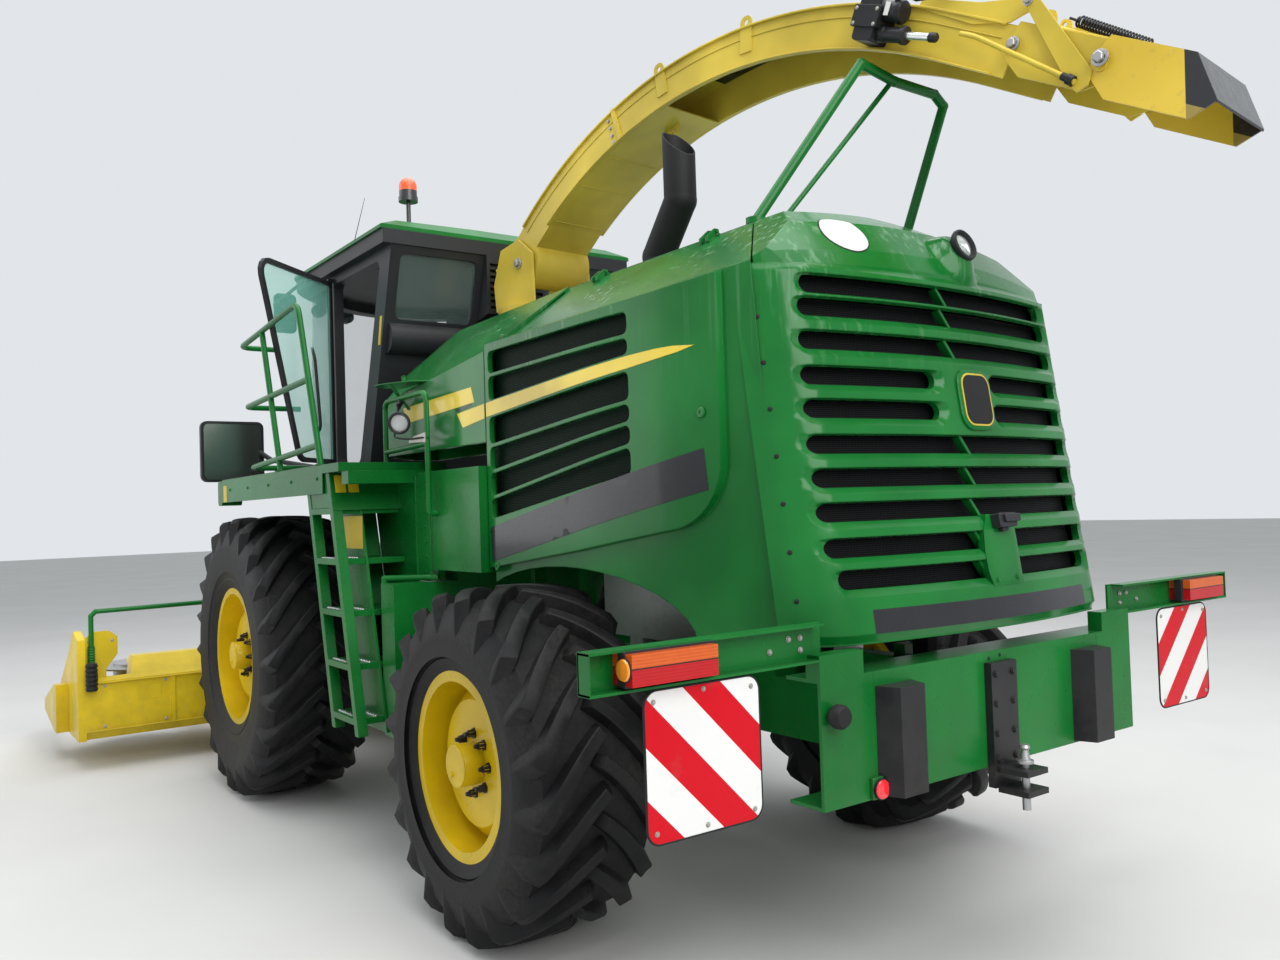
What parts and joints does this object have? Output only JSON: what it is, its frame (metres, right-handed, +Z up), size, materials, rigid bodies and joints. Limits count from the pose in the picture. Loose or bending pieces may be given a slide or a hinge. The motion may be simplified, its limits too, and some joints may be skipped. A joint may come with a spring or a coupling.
{
  "type": "forage harvester",
  "caption": "Self-propelled forage harvester with four steered or driven wheels, a cab, a curved swinging discharge spout and a rotary-drum crop header.",
  "frame": {"origin": "centre of the machine's footprint on the ground, under the middle of its length and width", "axes": "+X forwards, +Y to the machine's left, +Z up"},
  "size_m": [8.6176, 4.5, 3.9836],
  "materials": {
    "frame_black": "satin",
    "green_paint": "gloss",
    "yellow_paint": "gloss",
    "engine_grey": "matt",
    "cooler": "matt",
    "exhaust_black": "matt",
    "tyre_rubber": "matt",
    "black_plastic": "matt",
    "clear_glass": "clear",
    "lamp_red": "gloss",
    "lamp_amber": "gloss",
    "board_white": "reflective sheet",
    "seat_fabric": "woven",
    "worn_steel": "worn"
  },
  "bodies": {
    "root": {"chassis_frame": "green_paint", "front_axle": "frame_black", "rear_axle": "frame_black", "engine_block": "engine_grey", "radiator": "cooler", "chopper_housing": "green_paint", "hood_deck": "green_paint", "exhaust_pipe": "exhaust_black", "rear_bumper": "green_paint", "bumper_posts": "frame_black", "tow_hitch": "frame_black", "tail_lamps": "lamp_red", "warning_panels": "board_white", "platform": "green_paint", "ladder": "green_paint", "handrails": "green_paint", "side_boxes": "green_paint", "cab_shell": "black_plastic", "cab_roof": "green_paint", "cab_windows": "clear_glass", "seat": "seat_fabric", "steering_console": "black_plastic", "mirrors": "black_plastic", "work_lamps": "black_plastic", "beacon": "lamp_amber", "spout_cradle": "green_paint", "spout_turret": "frame_black"},
    "rear_lid": {"rear_hood": "green_paint"},
    "left_lid": {"side_panel_left": "green_paint"},
    "right_lid": {"side_panel_right": "green_paint"},
    "door": {"door_frame": "black_plastic", "door_glass": "clear_glass"},
    "spout_foot": {"spout_base": "yellow_paint"},
    "spout": {"spout_arc": "yellow_paint", "spout_motor": "black_plastic"},
    "deflector_1": {"deflector_inner": "yellow_paint"},
    "deflector_2": {"deflector_end": "yellow_paint"},
    "header": {"feeder_house": "frame_black", "header_frame": "yellow_paint", "header_guard": "green_paint"},
    "drum_1": {"crop_drum_1": "worn_steel"},
    "drum_2": {"crop_drum_2": "worn_steel"},
    "drum_3": {"crop_drum_3": "worn_steel"},
    "drum_4": {"crop_drum_4": "worn_steel"},
    "front_wheel_left": {"front_rim_left": "yellow_paint", "front_tyre_left": "tyre_rubber"},
    "front_wheel_right": {"front_rim_right": "yellow_paint", "front_tyre_right": "tyre_rubber"},
    "steer_left": {"knuckle_left": "frame_black"},
    "steer_right": {"knuckle_right": "frame_black"},
    "track_rod": {"tie_rod": "frame_black"},
    "lift_barrel": {"lift_barrels": "green_paint"},
    "lift_rod": {"lift_rods": "worn_steel"},
    "rear_wheel_left": {"rear_rim_left": "yellow_paint", "rear_tyre_left": "tyre_rubber"},
    "rear_wheel_right": {"rear_rim_right": "yellow_paint", "rear_tyre_right": "tyre_rubber"}
  },
  "joints": [
    {"name": "rear_lid_lift", "type": "hinge", "parent": "root", "child": "rear_lid", "pos_m": [-2.88819, 0, 2.877], "axis": [0, 1, 0], "range_deg": [0, 40]},
    {"name": "left_lid_lift", "type": "hinge", "parent": "root", "child": "left_lid", "pos_m": [-2.19119, 0.504, 2.834], "axis": [1, 0, 0], "range_deg": [0, 60]},
    {"name": "right_lid_lift", "type": "hinge", "parent": "root", "child": "right_lid", "pos_m": [-2.19119, -0.504, 2.834], "axis": [1, 0, 0], "range_deg": [-60, 0]},
    {"name": "door_swing", "type": "hinge", "parent": "root", "child": "door", "pos_m": [0.88881, 0.844, 2.6], "axis": [0, 0, 1], "range_deg": [0, 49]},
    {"name": "spout_swing", "type": "hinge", "parent": "root", "child": "spout_foot", "pos_m": [-0.44119, 0, 2.9], "axis": [0, 0, 1], "range_deg": [-111, 95]},
    {"name": "spout_lift", "type": "hinge", "parent": "spout_foot", "child": "spout", "pos_m": [-0.50087, -0.00627, 3.19], "axis": [-0.1045, 0.9945, 0], "range_deg": [0, 20]},
    {"name": "deflector_1_tilt", "type": "hinge", "parent": "spout", "child": "deflector_1", "pos_m": [-3.61566, -0.33365, 3.36841], "axis": [0.1045, -0.9945, 0], "range_deg": [0, 45]},
    {"name": "deflector_2_tilt", "type": "hinge", "parent": "deflector_1", "child": "deflector_2", "pos_m": [-3.92744, -0.36642, 3.18741], "axis": [0.1045, -0.9945, 0], "range_deg": [0, 50]},
    {"name": "header_lift", "type": "hinge", "parent": "root", "child": "header", "pos_m": [1.78881, 0, 1.15], "axis": [0, 1, 0], "range_deg": [-22, 3]},
    {"name": "drum_1_spin", "type": "hinge", "parent": "header", "child": "drum_1", "pos_m": [3.04881, -1.5825, 0.302], "axis": [0, 0, 1], "continuous": true},
    {"name": "drum_2_spin", "type": "hinge", "parent": "header", "child": "drum_2", "pos_m": [3.04881, -0.5275, 0.302], "axis": [0, 0, 1], "continuous": true},
    {"name": "drum_3_spin", "type": "hinge", "parent": "header", "child": "drum_3", "pos_m": [3.04881, 0.5275, 0.302], "axis": [0, 0, 1], "continuous": true},
    {"name": "drum_4_spin", "type": "hinge", "parent": "header", "child": "drum_4", "pos_m": [3.04881, 1.5825, 0.302], "axis": [0, 0, 1], "continuous": true},
    {"name": "front_wheel_left_roll", "type": "hinge", "parent": "root", "child": "front_wheel_left", "pos_m": [1.00881, 1.2, 0.875], "axis": [0, 1, 0], "continuous": true},
    {"name": "front_wheel_right_roll", "type": "hinge", "parent": "root", "child": "front_wheel_right", "pos_m": [1.00881, -1.2, 0.875], "axis": [0, 1, 0], "continuous": true},
    {"name": "steering", "type": "hinge", "parent": "root", "child": "steer_left", "pos_m": [-1.99119, 0.86, 0.71], "axis": [0, 0, 1], "range_deg": [-32, 32]},
    {"name": "steering_right", "type": "hinge", "parent": "root", "child": "steer_right", "pos_m": [-1.99119, -0.86, 0.71], "axis": [0, 0, 1], "range_deg": [-32, 32]},
    {"name": "rear_wheel_left_roll", "type": "hinge", "parent": "steer_left", "child": "rear_wheel_left", "pos_m": [-1.99119, 1.1, 0.71], "axis": [0, 1, 0], "continuous": true},
    {"name": "rear_wheel_right_roll", "type": "hinge", "parent": "steer_right", "child": "rear_wheel_right", "pos_m": [-1.99119, -1.1, 0.71], "axis": [0, 1, 0], "continuous": true},
    {"name": "tie_rod_pivot", "type": "hinge", "parent": "steer_left", "child": "track_rod", "pos_m": [-1.78619, 0.86, 0.642], "axis": [0, 0, 1], "range_deg": [-32, 32]},
    {"name": "lift_barrel_tilt", "type": "hinge", "parent": "root", "child": "lift_barrel", "pos_m": [1.17881, 0, 0.64], "axis": [0, 1, 0], "range_deg": [-9.83, 1.34]},
    {"name": "lift_rod_slide", "type": "slide", "parent": "lift_barrel", "child": "lift_rod", "axis": [0.9969, 0, -0.079], "range_m": [-0.027, 0.1975]}
  ],
  "couplings": [
    {"joint": "steering_right", "follows": "steering", "ratio": 1},
    {"joint": "tie_rod_pivot", "follows": "steering", "ratio": -1},
    {"joint": "lift_barrel_tilt", "follows": "header_lift", "ratio": 0.447},
    {"joint": "lift_rod_slide", "follows": "header_lift", "m_per_rad": -0.514}
  ]
}
